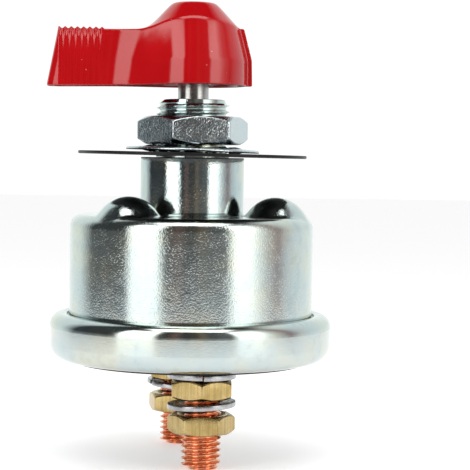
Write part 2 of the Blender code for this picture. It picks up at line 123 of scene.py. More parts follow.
def finely(path, step):
    """The same outline with points added, so that no two are further apart than step."""
    pieces = []
    for start, end in zip(path[:-1], path[1:]):
        count = max(1, math.ceil(np.hypot(*(end - start)) / step))
        pieces.append(start + (end - start) * np.linspace(0, 1, count, endpoint=False)[:, None])
    return np.concatenate([*pieces, path[-1:]])


def around(path, columns):
    """Points of a turned shape: each outline point carried round the axis. Returns rows by
    columns by xyz, and the angle of each column."""
    angle = np.linspace(0, TURN, columns, endpoint=False)
    r, z = path[:, 0, None], path[:, 1, None]
    return np.stack([r * np.cos(angle), r * np.sin(angle), z + 0 * angle], -1), angle


SHEET = 1.5
CAN_R = 31.5
CAN_TOP = -14.9
CORNER = 3.1
SKIRT_R = 36.5
SKIRT_LOW = -52.2
SKIRT_JOIN = -41.5  # the groove between the wall and the skirt
SKIRT_CORNER = 4.0
DOMES = ((-15.0, 22.3), (-135.0, 22.3), (105.0, 22.3))  # azimuth and distance of each dome
DOME_R = 8.66
DOME_PEAK = -9.9


def pressed_domes(points, radius, level):
    """Lifts the top sheet over each dome: the height is the soft maximum of the sheet's own
    height and a sphere of this radius, blended over about a millimetre."""
    soft = 0.55
    x, y, z = points[..., 0], points[..., 1], points[..., 2]
    for azimuth, distance in DOMES:
        a = math.radians(azimuth)
        away = (x - distance * math.cos(a)) ** 2 + (y - distance * math.sin(a)) ** 2
        ball = level + np.sqrt(np.maximum(radius**2 - away, 0.0))
        ball = np.where(away < radius**2, ball, level - 4 * np.sqrt(np.maximum(away - radius**2, 0)))
        gap = np.maximum(3 * soft - np.abs(z - ball), 0.0) / (3 * soft)
        lifted = np.maximum(z, ball) + 0.25 * 3 * soft * gap**2
        z = np.where(z > CAN_TOP - CORNER - 0.5, lifted, z)
    points[..., 2] = z
    return points


outer = profile(
    (11.3, CAN_TOP),
    (CAN_R - CORNER, CAN_TOP - CORNER, CORNER, 90, 0, 12),
    (CAN_R, -38.0),
    (CAN_R + 0.35, SKIRT_JOIN + 0.35, 0.35, 180, 300, 4),
    (33.4, -43.4, 3.1, 114, 0, 16),
    (SKIRT_R - SKIRT_CORNER, SKIRT_LOW + SKIRT_CORNER, SKIRT_CORNER, 0, -90, 12),
    (31.5, SKIRT_LOW),
    (31.3, SKIRT_LOW + 0.2),
)
inner = profile(
    (31.3, SKIRT_LOW + SHEET - 0.2),
    (SKIRT_R - SKIRT_CORNER, SKIRT_LOW + SKIRT_CORNER, 2.6, -90, 0, 6),
    (35.1, -44.0),
    (34.0, -42.9),
    (30.0, -42.9),
    (CAN_R - CORNER, CAN_TOP - CORNER, CORNER - SHEET, 0, 90, 5),
    (11.3, CAN_TOP - SHEET),
)
CAN_COLUMNS = 420
outside, _ = around(finely(outer, 0.42), CAN_COLUMNS)
outside = pressed_domes(outside, DOME_R, DOME_PEAK - DOME_R)
inside, _ = around(finely(inner, 1.6), CAN_COLUMNS)
inside = pressed_domes(inside, DOME_R - SHEET, DOME_PEAK - DOME_R)
can = skin("drawn_can", np.concatenate([outside, inside]), "housing", closed_rows=True, sharp=50)
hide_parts("housing_can")


def add(tree, kind, options=None, **inputs):
    """A node of this kind. Options are its own settings. Inputs are its sockets, by name
    with spaces as underscores or by number after one, each a value or another's socket."""
    node = tree.nodes.new(kind)
    for key, value in (options or {}).items():
        setattr(node, key, value)
    for key, value in inputs.items():
        socket = node.inputs[int(key[1:])] if key[0] == "_" else node.inputs[key.replace("_", " ")]
        if isinstance(value, bpy.types.NodeSocket):
            tree.links.new(value, socket)
        else:
            socket.default_value = value
    return node


def ramp(tree, factor, stops):
    """A colour ramp over stops of position and grey value or colour."""
    node = add(tree, "ShaderNodeValToRGB", _0=factor)
    band = node.color_ramp
    for index, (position, colour) in enumerate(stops):
        stop = band.elements[index] if index < 2 else band.elements.new(position)
        stop.position = position
        stop.color = colour if isinstance(colour, tuple) else (colour, colour, colour, 1)
    return node.outputs[0]


def group(name, inputs, outputs):
    """An empty shader node group with these sockets, and its input and output nodes."""
    made = bpy.data.node_groups.new(name, "ShaderNodeTree")
    kinds = {"c": "NodeSocketColor", "f": "NodeSocketFloat"}
    for label, kind, value in inputs:
        socket = made.interface.new_socket(label, in_out="INPUT", socket_type=kinds[kind])
        socket.default_value = value
    for label, kind in outputs:
        made.interface.new_socket(label, in_out="OUTPUT", socket_type=kinds[kind])
    return made, made.nodes.new("NodeGroupInput"), made.nodes.new("NodeGroupOutput")


def mix(tree, factor, first, second, mode="MIX"):
    """Two colours mixed."""
    options = {"data_type": "RGBA", "blend_type": mode}
    return add(tree, "ShaderNodeMix", options, _0=factor, _6=first, _7=second).outputs[2]


def maths(tree, operation, first, second=0.0, third=0.0):
    """One sum, product or other operation on values."""
    node = add(tree, "ShaderNodeMath", {"operation": operation}, _0=first, _1=second, _2=third)
    return node.outputs[0]


def noise(tree, place, scale, **inputs):
    """Smooth noise over a place, as a value."""
    return add(tree, "ShaderNodeTexNoise", Vector=place, Scale=scale, **inputs).outputs[0]


def new_finish(name):
    """A new material, its tree, its Principled shader and the place on the piece in metres."""
    finish = bpy.data.materials.new(name)
    finish.use_nodes = True
    tree = finish.node_tree
    place = add(tree, "ShaderNodeTexCoord").outputs["Object"]
    return finish, tree, tree.nodes["Principled BSDF"], place


def feed(tree, node, **inputs):
    """Links other nodes' outputs to this node's inputs, by name."""
    for key, value in inputs.items():
        tree.links.new(value, node.inputs[key.replace("_", " ")])


def emboss(tree, shader, depth, height):
    """Bump on the shader's normal, as deep as this in millimetres."""
    relief = add(tree, "ShaderNodeBump", Strength=1.0, Distance=depth * MM, Height=height)
    feed(tree, shader, Normal=relief.outputs[0])
    return relief


def refinish(node, finish):
    """Gives a piece that stays as the CAD has it this finish alone."""
    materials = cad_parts[node].data.materials
    materials.clear()
    materials.append(finish)


# Plating: a tint that drifts over the surface, fine pits and grain from the pickled sheet
# under it, and patches that are duller than the rest.
plating, given, result = group(
    "plating",
    [
        ("Metal", "c", (0.53, 0.585, 0.565, 1)),
        ("Cool tint", "c", (0.45, 0.55, 0.575, 1)),
        ("Warm tint", "c", (0.61, 0.60, 0.48, 1)),
        ("Grain size", "f", 0.7),
        ("Polish", "f", 0.10),
        ("Dullness", "f", 0.14),
        ("Tinting", "f", 0.7),
    ],
    [("Color", "c"), ("Roughness", "f"), ("Height", "f")],
)
spot = add(plating, "ShaderNodeTexCoord").outputs["Object"]
per_metre = maths(plating, "DIVIDE", 1000.0, given.outputs["Grain size"])
drift = noise(plating, spot, 85.0, Detail=3.0, Roughness=0.55)
patch = noise(plating, spot, 330.0, Detail=5.0, Roughness=0.65)
grain = noise(plating, spot, per_metre, Detail=2.0, Roughness=0.6)
pits = add(plating, "ShaderNodeTexVoronoi", Vector=spot, Scale=per_metre)
cool = ramp(plating, drift, [(0.36, 1.0), (0.52, 0.0)])
warm = ramp(plating, drift, [(0.50, 0.0), (0.66, 1.0)])
cool_part = maths(plating, "MULTIPLY", cool, given.outputs["Tinting"])
warm_part = maths(plating, "MULTIPLY", warm, given.outputs["Tinting"])
tinted = mix(plating, cool_part, given.outputs["Metal"], given.outputs["Cool tint"])
tinted = mix(plating, warm_part, tinted, given.outputs["Warm tint"])
stain = ramp(plating, patch, [(0.30, 0.90), (0.50, 1.0)])
feed(plating, result, Color=mix(plating, 1.0, tinted, stain, "MULTIPLY"))
dull = ramp(plating, patch, [(0.40, 0.0), (0.72, 1.0)])
rough = maths(plating, "MULTIPLY_ADD", dull, given.outputs["Dullness"], given.outputs["Polish"])
pit = ramp(plating, pits.outputs["Distance"], [(0.0, 0.0), (0.35, 1.0)])
sparse = ramp(plating, patch, [(0.40, 0.0), (0.58, 1.0)])
sunk = maths(plating, "MULTIPLY", maths(plating, "SUBTRACT", 1.0, pit), sparse)
height = maths(plating, "SUBTRACT", grain, maths(plating, "MULTIPLY", sunk, 0.8))
feed(plating, result, Roughness=rough, Height=height)


def plated(name, bump, rolled_below=None, **settings):
    """A plated finish from the plating group; bump is the grain's depth in millimetres. The
    sheet's grain is rolled nearly smooth below the height rolled_below, in millimetres."""
    finish, tree, shader, place = new_finish(name)
    shader.inputs["Metallic"].default_value = 1.0
    coat = add(tree, "ShaderNodeGroup", {"node_tree": plating}, **settings)
    feed(tree, shader, Base_Color=coat.outputs["Color"], Roughness=coat.outputs["Roughness"])
    relief = emboss(tree, shader, bump, coat.outputs["Height"])
    if rolled_below is not None:
        level = add(tree, "ShaderNodeSeparateXYZ", Vector=place).outputs[2]
        above = maths(tree, "MULTIPLY_ADD", level, 1000.0, -rolled_below)
        feed(tree, relief, Strength=ramp(tree, above, [(0.0, 0.12), (1.0, 1.0)]))
    return finish


can_finish = plated(
    "zinc_on_drawn_sheet", 0.030, SKIRT_JOIN, Grain_size=0.44, Polish=0.10, Dullness=0.04, Tinting=0.5
)
can.data.materials.append(can_finish)


# The stem is turned from steel bar: a 3/4 inch thread, 16 to the inch, above a plain barrel,
# with a collar staked over inside the can. It is plated like the can but smoother.

STEM_TOP = 14.9
STEM_BORE_R = 4.3
THREAD_R = 9.525
THREAD_PITCH = 1.5875
BARREL_R = 13.45
STAKE_R = 12.4


def thread_depth(angle, z, pitch, depth):
    """How far the surface lies under the crest: a V of 60 degrees with narrow flats at its
    crest and root, that climbs one pitch a turn."""
    phase = np.mod(z / pitch - angle / TURN, 1.0)
    away = np.abs(2 * phase - 1)
    ramped = np.clip((away - 0.14) / 0.70, 0, 1)
    return depth * ramped * (1.5 - 0.5 * ramped**2)


def cut_thread(points, angle, low, high, pitch, depth, runout=0.8):
    """Cuts a thread into the rows of a turned shape between two heights, fading in and out
    over runout."""
    z = points[..., 2]
    full = np.clip((z - low) / runout, 0, 1) * np.clip((high - z) / 0.25, 0, 1)
    drop = thread_depth(angle, z, pitch, depth) * full
    r = np.hypot(points[..., 0], points[..., 1])
    factor = np.maximum(r - drop, 0.1) / np.maximum(r, 0.1)
    points[..., :2] *= factor[..., None]
    return points


stem_outline = profile(
    (STEM_BORE_R, 12.0),
    (STEM_BORE_R, STEM_TOP - 0.3),
    (STEM_BORE_R + 0.3, STEM_TOP),
    (THREAD_R - 1.1, STEM_TOP),
    (THREAD_R - 0.9, STEM_TOP - 0.1),
)
stem_thread = finely(profile((THREAD_R, STEM_TOP - 0.9), (THREAD_R, 0.0)), 0.105)
stem_barrel = profile(
    (THREAD_R + 0.05, 0.0),
    (BARREL_R - 0.35, -0.35, 0.35, 90, 0, 4),
    (BARREL_R, -14.0),
    (BARREL_R - 0.2, -14.25),
    (BARREL_R + 0.1, -14.45),
    (BARREL_R, CAN_TOP + 0.06),
    (11.0, CAN_TOP + 0.06),
    (11.0, -16.6),
    (STAKE_R, -16.7),
    (STAKE_R, -18.0),
    (STAKE_R - 0.3, -18.2),
    (STEM_BORE_R, -18.2),
)
STEM_COLUMNS = 144
threaded, stem_angle = around(np.concatenate([stem_outline, stem_thread]), STEM_COLUMNS)
threaded = cut_thread(threaded, stem_angle, 0.3, STEM_TOP + 0.2, THREAD_PITCH, 0.97)
barrel, _ = around(finely(stem_barrel, 2.0), STEM_COLUMNS)
stem = skin("threaded_stem", np.concatenate([threaded, barrel]), "housing", closed_rows=True)
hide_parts("mounting_stem")
stem_finish = plated("zinc_on_turned_bar", 0.024, Grain_size=0.6, Polish=0.07, Dullness=0.04, Tinting=0.7)
stem.data.materials.append(stem_finish)


# The stem nut is a one-inch hexagon, hot pressed, chamfered on both faces and plated.


def hexagon(flats, columns_per_side=26, rounding=0.75):
    """Angle and radius round a hexagon with rounded corners. The angles crowd together at
    the corners, which lie at multiples of 60 degrees and are arcs of the rounding radius."""
    t = np.linspace(-1, 1, columns_per_side, endpoint=False)
    side = math.radians(30) * np.sin(np.pi / 2 * t)
    angle = np.concatenate([side + math.radians(30 + 60 * k) for k in range(6)])
    off = np.mod(angle + math.radians(30), math.radians(60)) - math.radians(30)
    beside = flats / 2 / np.cos(math.radians(30) - np.abs(off))
    pivot = flats / math.sqrt(3) - rounding / math.sin(math.radians(60))
    aside = pivot * np.sin(off)
    arc = pivot * np.cos(off) + np.sqrt(np.maximum(rounding**2 - aside**2, 0))
    return angle, np.where(np.abs(aside) < rounding / 2, arc, beside)


def hex_nut(name, flats, z_low, z_high, bore, pitch, centre=(0, 0), turn=0.0, chamfer=32.0):
    """A hexagon nut: each row is a contour from the bore's top over the top face, the
    chamfer, the flats and back to the bore. The chamfer is a cone that cuts the corners
    more than the flats, so its edge on the flats is scalloped."""
    angle, radius = hexagon(flats)
    middle = (z_low + z_high) / 2
    half = (z_high - z_low) / 2
    face = flats / 2 * 0.965
    fall = np.maximum(radius - face, 0) * math.tan(math.radians(chamfer))
    flat = 0 * radius
    top = [
        (flat + bore, flat + half - 0.95),
        (flat + bore + 0.95, flat + half - 0.05),
        (flat + bore + 1.1, flat + half),
        (flat + face - 0.25, flat + half),
        (flat + face, flat + half - 0.05),
        ((face + radius) / 2, half - fall / 2),
        (radius - 0.24, half - fall + 0.24 * math.tan(math.radians(chamfer))),
        (radius - 0.10, half - fall + 0.02),
        (radius - 0.02, half - fall - 0.12),
        (radius, half - fall - 0.26),
        (radius, flat + 0.25 * half),
    ]
    rows = top + [(r, -z) for r, z in reversed(top)]
    wall = finely(profile((bore, -half + 0.95), (bore, half - 0.95)), pitch / 10)[1:-1]
    thread = [(flat + r, flat + z) for r, z in wall]
    points = np.array([[r * np.cos(angle), r * np.sin(angle), z] for r, z in rows + thread])
    points = points.transpose(0, 2, 1)
    in_bore = slice(len(rows), None)
    groove = thread_depth(angle, points[in_bore, :, 2], pitch, -0.5 * pitch * 0.6)
    points[in_bore, :, :2] *= (1 - groove / bore)[..., None]
    a = math.radians(turn)
    x, y = points[..., 0].copy(), points[..., 1].copy()
    points[..., 0] = x * math.cos(a) - y * math.sin(a) + centre[0]
    points[..., 1] = x * math.sin(a) + y * math.cos(a) + centre[1]
    points[..., 2] += middle
    return skin(name, points, "housing", closed_rows=True, sharp=20)


NUT_FLATS = 25.4
NUT_Z = (3.35, 10.6)
stem_nut = hex_nut("panel_nut", NUT_FLATS, *NUT_Z, THREAD_R + 0.22, THREAD_PITCH, turn=10)
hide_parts("stem_nut")
nut_metal = (0.52, 0.57, 0.60, 1)
nut_finish = plated(
    "zinc_on_pressed_nut", 0.085, Metal=nut_metal, Grain_size=0.46, Polish=0.13, Dullness=0.05, Tinting=0.1
)
stem_nut.data.materials.append(nut_finish)


# The lock washer is stamped from spring steel: a band with ten teeth twisted inwards. It
# has settled a little askew on the thread.


def tilt(points, degrees, height):
    """Leans points about the Y axis through this height, so that +X goes down."""
    a = math.radians(degrees)
    x, z = points[..., 0].copy(), points[..., 2] - height
    points[..., 0] = x * math.cos(a) + z * math.sin(a)
    points[..., 2] = height + z * math.cos(a) - x * math.sin(a)
    return points


def rounded_bar(centre, across, up, half_width, half_height, rounding=0.12):
    """Four rounded corners of a bar's section, as rows by section points by xyz: centre,
    across and up are arrays of one vector a row."""
    corner = np.radians(np.array([0, 30, 60, 90]))
    u, v = [], []
    for quarter in range(4):
        a = corner + quarter * math.pi / 2
        sign_u = 1 if quarter in (0, 3) else -1
        sign_v = 1 if quarter in (0, 1) else -1
        u.append(sign_u * (half_width - rounding) + rounding * np.cos(a))
        v.append(sign_v * (half_height - rounding) + rounding * np.sin(a))
    u, v = np.concatenate(u), np.concatenate(v)
    rows = centre[:, None] + u[None, :, None] * across[:, None] + v[None, :, None] * up[:, None]
    ends = [np.repeat(centre[:1, None], len(u), 1), np.repeat(centre[-1:, None], len(u), 1)]
    return np.concatenate([ends[0], rows, ends[1]])


def joined(first, *others):
    """Several meshes made one object: the others' shapes move into the first."""
    form = bmesh.new()
    for part in (first, *others):
        form.from_mesh(part.data)
    form.to_mesh(first.data)
    form.free()
    for part in others:
        mesh = part.data
        bpy.data.objects.remove(part)
        bpy.data.meshes.remove(mesh)
    return first


WASHER_Z = (1.6, 2.6)
WASHER_MIDDLE = 2.1
WASHER_LEAN = 1.3
TEETH = 10
washer_band = profile(
    (13.6, WASHER_Z[1] - 0.15),
    (13.75, WASHER_Z[1]),
    (16.9, WASHER_Z[1] - 0.25),
    (17.25, WASHER_Z[1] - 0.45),
    (17.3, WASHER_Z[0] + 0.15),
    (17.15, WASHER_Z[0]),
    (13.75, WASHER_Z[0] + 0.1),
    (13.6, WASHER_Z[0] + 0.25),
)
band, _ = around(washer_band, 160)
band = tilt(band, WASHER_LEAN, WASHER_MIDDLE)
pieces = [skin("toothed_washer", band, "housing", closed_rows=True, sharp=60)]
for tooth in range(TEETH):
    facing = TURN * (tooth + 0.5) / TEETH
    out = np.array([math.cos(facing), math.sin(facing), 0.0])
    side = np.array([-math.sin(facing), math.cos(facing), 0.0])
    inward = np.linspace(13.9, 10.2, 9)
    twist = np.radians(np.interp(inward, [11.0, 13.6], [24, 0]))[:, None]
    along = side * np.cos(twist) + np.array([0, 0, 1.0]) * np.sin(twist)
    normal = np.cross(out, along)
    width = np.interp(inward, [10.2, 13.9], [1.55, 2.3])[:, None]
    middle_line = inward[:, None] * out + np.array([0, 0, WASHER_MIDDLE])
    bar = rounded_bar(middle_line, along * width, normal, 1.0, 0.36)
    pieces.append(skin(f"tooth_{tooth}", tilt(bar, WASHER_LEAN, WASHER_MIDDLE), "housing"))
lock_washer = joined(*pieces)
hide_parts("stem_lock_washer")
lock_washer.data.materials.append(nut_finish)


# The face plate is a thin disc stamped from sheet steel and coated black, with the two
# lever positions marked on it as a ring for off and a bar for on.

PLATE_R = 29.6
PLATE_LEAN = 0.7
MARKS_AT = 23.5
MARK_EDGE = 0.12
plate_outline = profile(
    (THREAD_R + 0.45, 1.05),
    (THREAD_R + 0.55, 1.15),
    (PLATE_R - 0.25, 0.9, 0.25, 90, 20, 3),
    (PLATE_R, 0.6),
    (PLATE_R - 0.1, 0.4),
    (PLATE_R - 0.25, 0.35),
    (THREAD_R + 0.55, 0.35),
    (THREAD_R + 0.45, 0.45),
)
disc, _ = around(plate_outline, 192)
plate = skin("dial_plate", tilt(disc, PLATE_LEAN, 0.75), "housing", closed_rows=True)
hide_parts("face_plate")


def distance_mask(tree, position, centre, half, rounding, ring=None):
    """White inside a rounded bar, or on a ring's line, at this place in millimetres."""
    offset = add(tree, "ShaderNodeVectorMath", {"operation": "SUBTRACT"}, _0=position)
    offset.inputs[1].default_value = (*centre, 0.0)
    parts = add(tree, "ShaderNodeSeparateXYZ", Vector=offset.outputs[0])
    if ring is None:
        u = maths(tree, "SUBTRACT", maths(tree, "ABSOLUTE", parts.outputs[0]), half[0])
        v = maths(tree, "SUBTRACT", maths(tree, "ABSOLUTE", parts.outputs[1]), half[1])
        far = maths(tree, "MAXIMUM", u, v)
    else:
        flat_x = maths(tree, "POWER", parts.outputs[0], 2.0)
        flat_y = maths(tree, "POWER", parts.outputs[1], 2.0)
        away = maths(tree, "SQRT", maths(tree, "ADD", flat_x, flat_y))
        off_line = maths(tree, "ABSOLUTE", maths(tree, "SUBTRACT", away, ring))
        far = maths(tree, "SUBTRACT", off_line, half[0])
    return ramp(tree, maths(tree, "MULTIPLY_ADD", far, -1 / rounding, 0.5), [(0.0, 0.0), (1.0, 1.0)])


black_coat, tree, shader, place = new_finish("black_coat_on_plate")
metric = add(tree, "ShaderNodeVectorMath", {"operation": "SCALE"}, _0=place, Scale=1000.0).outputs[0]
speck = noise(tree, place, 1800.0, Detail=4.0)
smear = noise(tree, place, 140.0, Detail=4.0)
coat_tones = [(0.3, (0.003, 0.003, 0.003, 1)), (0.7, (0.008, 0.008, 0.009, 1))]
coat_colour = ramp(tree, smear, coat_tones)
shader.inputs["Specular IOR Level"].default_value = 0.25
off_mark = distance_mask(tree, metric, (-MARKS_AT, 0.0), (0.35, 0), MARK_EDGE, ring=2.3)
on_mark = distance_mask(tree, metric, (0.0, MARKS_AT), (0.4, 2.4), MARK_EDGE)
facing_up = add(tree, "ShaderNodeSeparateXYZ", Vector=add(tree, "ShaderNodeNewGeometry").outputs["Normal"])
marks = maths(tree, "MULTIPLY", maths(tree, "MAXIMUM", off_mark, on_mark), facing_up.outputs[2])
feed(tree, shader, Base_Color=mix(tree, marks, coat_colour, (0.75, 0.75, 0.73, 1)))
feed(tree, shader, Roughness=ramp(tree, smear, [(0.3, 0.34), (0.7, 0.50)]))
emboss(tree, shader, 0.008, speck)
plate.data.materials.append(black_coat)


# The base is moulded from black phenolic: a thick disc that the skirt is rolled round, with
# a spring pocket in the middle and a platform that carries the stud heads inside.

base_outline = profile(
    (0.0, -47.5),
    (9.2, -47.5),
    (9.2, -41.6),
    (9.5, -41.3),
    (27.0, -41.3),
    (27.3, -41.6),
    (27.3, -44.5),
    (34.5, -44.5),
    (34.8, -44.8),
    (32.5, -48.2, 2.3, 0, -90, 8),
    (31.0, -50.6),
    (30.9, -52.4),
    (30.4, -52.9),
    (29.0, -53.0),
    (28.6, -52.7),
    (27.4, -52.7),
    (27.0, -53.0),
    (0.0, -53.0),
)
moulded, _ = around(finely(base_outline, 3.0), 144)
base = skin("moulded_base", moulded, "housing", sharp=30)
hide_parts("insulating_base")


def moulded_finish(name, dark, light, rough, pebble, size):
    """A moulded plastic: a faint flow pattern in the colour, and a fine pebbled skin."""
    finish, tree, shader, place = new_finish(name)
    flow = noise(tree, place, 120.0, Detail=5.0, Distortion=1.2)
    fine = noise(tree, place, 1000.0 / size, Detail=3.0)
    feed(tree, shader, Base_Color=ramp(tree, flow, [(0.3, dark), (0.7, light)]))
    shader.inputs["Specular IOR Level"].default_value = 0.25
    spread = [(0.3, rough - 0.08), (0.7, rough + 0.08)]
    feed(tree, shader, Roughness=ramp(tree, fine, spread))
    emboss(tree, shader, pebble, fine)
    return finish


phenolic = moulded_finish(
    "black_phenolic", (0.006, 0.005, 0.005, 1), (0.014, 0.012, 0.011, 1), 0.52, 0.012, 0.4
)
rubber = moulded_finish("black_rubber", (0.012, 0.012, 0.012, 1), (0.022, 0.022, 0.022, 1), 0.7, 0.02, 0.3)
fibre = moulded_finish("red_fibre", (0.30, 0.075, 0.035, 1), (0.46, 0.14, 0.07, 1), 0.75, 0.03, 0.5)
base.data.materials.append(phenolic)


# Inside the can: the cam of moulded phenolic with its ramps, the fibre sleeve that keeps
# the arc off the steel, the gasket under the can's step and the rings under the stud heads.

for node, finish in (
    ("cam_ring", phenolic),
    ("arc_liner", fibre),
    ("base_gasket", rubber),
    ("stud_seal_front", rubber),
    ("stud_seal_rear", rubber),
    ("shaft_seal", rubber),
    ("bridge_insulator_upper", fibre),
    ("bridge_insulator_lower", fibre),
):
    refinish(node, finish)


# Each terminal is a copper stud with a rolled M10 thread, which carries two thin brass nuts
# and two split spring washers. The upper nut holds the stud in the base, and a cable lug
# goes between the lower washer and the nuts.

STUD_R = 5.0
STUD_PITCH = 1.5
STUD_END = -77.4
STUD_AZIMUTH = -81.0
STUD_DISTANCE = 19.2
THREAD_END = -49.0
TERMINAL_FLATS = 14.8
TERMINAL_CHAMFER = 33
UPPER_NUT_Z = (-59.9, -55.1)
LOWER_NUT_Z = (-68.6, -63.8)
UPPER_WASHER_Z = -54.8
LOWER_WASHER_Z = -62.3


def metal(name, first, second, rough, bump, streaks=0.3, scratches=0.0, lines=(300.0, 300.0, 9000.0)):
    """Bare machined metal: a colour that drifts between two tones, thin tool lines in the
    height, level or upright by their scale, and a roughness that varies with the colour."""
    finish, tree, shader, place = new_finish(name)
    shader.inputs["Metallic"].default_value = 1.0
    drift = noise(tree, place, 260.0, Detail=4.0, Roughness=0.6)
    fine = noise(tree, place, 2000.0, Detail=3.0)
    stretched = add(tree, "ShaderNodeMapping", Vector=place, Scale=lines)
    turning = noise(tree, stretched.outputs[0], 1.0, Detail=2.0)
    colour = ramp(tree, drift, [(0.34, first), (0.66, second)])
    marks = ramp(tree, turning, [(0.36, 0.55), (0.56, 1.0)])
    feed(tree, shader, Base_Color=mix(tree, streaks, colour, marks, "MULTIPLY"))
    spread = [(0.3, max(rough - 0.06, 0.03)), (0.7, rough + 0.10)]
    feed(tree, shader, Roughness=ramp(tree, drift, spread))
    emboss(tree, shader, bump, maths(tree, "MULTIPLY_ADD", turning, scratches, fine))
    return finish


copper = metal("bright_copper", (0.60, 0.20, 0.085, 1), (0.86, 0.41, 0.25, 1), 0.14, 0.012)
upright = (2200.0, 2200.0, 70.0)
brass = metal("drawn_brass", (0.39, 0.275, 0.10, 1), (0.55, 0.41, 0.185, 1), 0.22, 0.015, 0.5, 1.6, upright)
steel = metal("bare_steel", (0.38, 0.37, 0.355, 1), (0.50, 0.49, 0.47, 1), 0.20, 0.010, 0.3, 0.8)
spring_steel = metal("plated_spring_steel", (0.30, 0.30, 0.31, 1), (0.52, 0.52, 0.53, 1), 0.24, 0.02)
silver = metal("contact_silver", (0.75, 0.73, 0.69, 1), (0.86, 0.85, 0.82, 1), 0.32, 0.012)


def stud(name, centre):
    """A stud: its square head is a superellipse that changes to a round shank, then the
    thread, and a chamfered point with a flat end."""
    shank = profile((STUD_R, -41.2), (STUD_R, THREAD_END))
    threaded = finely(profile((STUD_R, THREAD_END), (STUD_R, STUD_END + 0.9)), 0.1)
    point = profile((STUD_R, STUD_END + 0.9), (STUD_R - 0.9, STUD_END), (0.0, STUD_END))
    rows, angle = around(np.concatenate([shank[:-1], threaded[:-1], finely(point, 0.12)]), 96)
    rows = cut_thread(rows, angle, STUD_END - 1.0, THREAD_END, STUD_PITCH, 0.90, runout=0.2)
    cone = STUD_R - 0.9 + np.maximum(rows[..., 2] - STUD_END, 0) * 1.0
    r = np.hypot(rows[..., 0], rows[..., 1])
    rows[..., :2] *= np.minimum(1.0, cone / np.maximum(r, 0.01))[..., None]
    turned = angle - math.radians(STUD_AZIMUTH)
    square = 6.5 / (np.abs(np.cos(turned)) ** 14 + np.abs(np.sin(turned)) ** 14) ** (1 / 14)
    head = []
    for share, z in ((0, -37.4), (0.93, -37.4), (0.985, -37.55), (1, -37.9), (1, -40.6), (0.97, -41.0)):
        head.append([share * square * np.cos(angle), share * square * np.sin(angle), z + 0 * angle])
    head = np.array(head).transpose(0, 2, 1)
    rows = np.concatenate([head, rows])
    rows[..., 0] += centre[0]
    rows[..., 1] += centre[1]
    return skin(name, rows, "housing", sharp=40)


def split_washer(name, centre, z_low, facing, opening, rise, thick=1.5, lean=0.0):
    """A split spring washer: a bar of nearly square section carried round one turn, climbing
    by rise, with its two ends left apart."""
    half = 1.625
    middle_r = 6.975
    sweep = np.radians(np.linspace(opening / 2, 360 - opening / 2, 90)) + math.radians(facing)
    share = np.linspace(0, 1, len(sweep))
    out = np.stack([np.cos(sweep), np.sin(sweep), 0 * sweep], 1)
    up = np.tile([0, 0, 1.0], (len(sweep), 1))
    centre_line = middle_r * out
    centre_line[:, 2] = z_low + (thick - rise) / 2 + rise * share
    bar = rounded_bar(centre_line, out, up, half, (thick - rise) / 2, rounding=0.18)
    bar = tilt(bar, lean, z_low + thick / 2)
    bar[..., 0] += centre[0]
    bar[..., 1] += centre[1]
    return skin(name, bar, "housing", sharp=50)


for end, label, lower_turn, upper_split, lower_split, lean in (
    (1, "front", 0.0, -88.0, 55.0, -2.4),
    (-1, "rear", 42.0, 60.0, -150.0, 6.5),
):
    azimuth = math.radians(STUD_AZIMUTH)
    at = (end * STUD_DISTANCE * math.cos(azimuth), end * STUD_DISTANCE * math.sin(azimuth))
    terminal = stud(f"copper_stud_{label}", at)
    terminal.data.materials.append(copper)
    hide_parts(f"terminal_stud_{label}")
    for level, height, turn in (("upper", UPPER_NUT_Z, 30), ("lower", LOWER_NUT_Z, lower_turn)):
        sizes = (TERMINAL_FLATS, *height, STUD_R + 0.1, STUD_PITCH)
        nut = hex_nut(f"brass_nut_{level}_{label}", *sizes, at, turn, TERMINAL_CHAMFER)
        nut.data.materials.append(brass)
        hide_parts(f"terminal_nut_{level}_{label}")
    name = f"split_washer_upper_{label}"
    first = split_washer(name, at, UPPER_WASHER_Z, upper_split, 2.6, 0.12)
    name = f"split_washer_lower_{label}"
    second = split_washer(name, at, LOWER_WASHER_Z, lower_split, 7.0, 0.25, lean=lean)
    for washer, node in ((first, "upper"), (second, "lower")):
        washer.data.materials.append(spring_steel)
        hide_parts(f"spring_washer_{node}_{label}")


# The contact carriage inside: a copper bridge with two silver-faced pads, on the shaft's
# neck between fibre insulators, with the disc spring, the thrust washer and the clip.

for node, finish in (
    ("contact_bridge", copper),
    ("contact_pad_front", silver),
    ("contact_pad_rear", silver),
    ("spring_seat", spring_steel),
    ("pressure_disc_spring", spring_steel),
    ("thrust_washer", steel),
    ("retaining_clip", spring_steel),
    ("drive_pin", steel),
):
    refinish(node, finish)


# The return spring is a cylindrical coil of round music wire. It stands in the base's
# pocket and lifts the carriage.

SPRING_Z = (-46.4, -36.8)
COIL_R = 7.4
WIRE_R = 0.8
COIL_TURNS = 3.75
swing = np.linspace(0, TURN * COIL_TURNS, 260)
wire_z = np.linspace(*SPRING_Z, 260)
spring_line = np.stack([COIL_R * np.cos(swing), COIL_R * np.sin(swing), wire_z], 1)
outwards = np.stack([np.cos(swing), np.sin(swing), 0 * swing], 1)
upwards = np.tile([0, 0, 1.0], (len(swing), 1))
coil = skin("return_coil", rounded_bar(spring_line, outwards, upwards, WIRE_R, WIRE_R, WIRE_R), "housing")
coil.data.materials.append(spring_steel)
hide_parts("return_spring")
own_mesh(coil)


# The shaft is ground steel bar, 8 mm across, with a groove for its seal, a hole for the
# cross pin and a thinner neck below that carries the contact bridge.

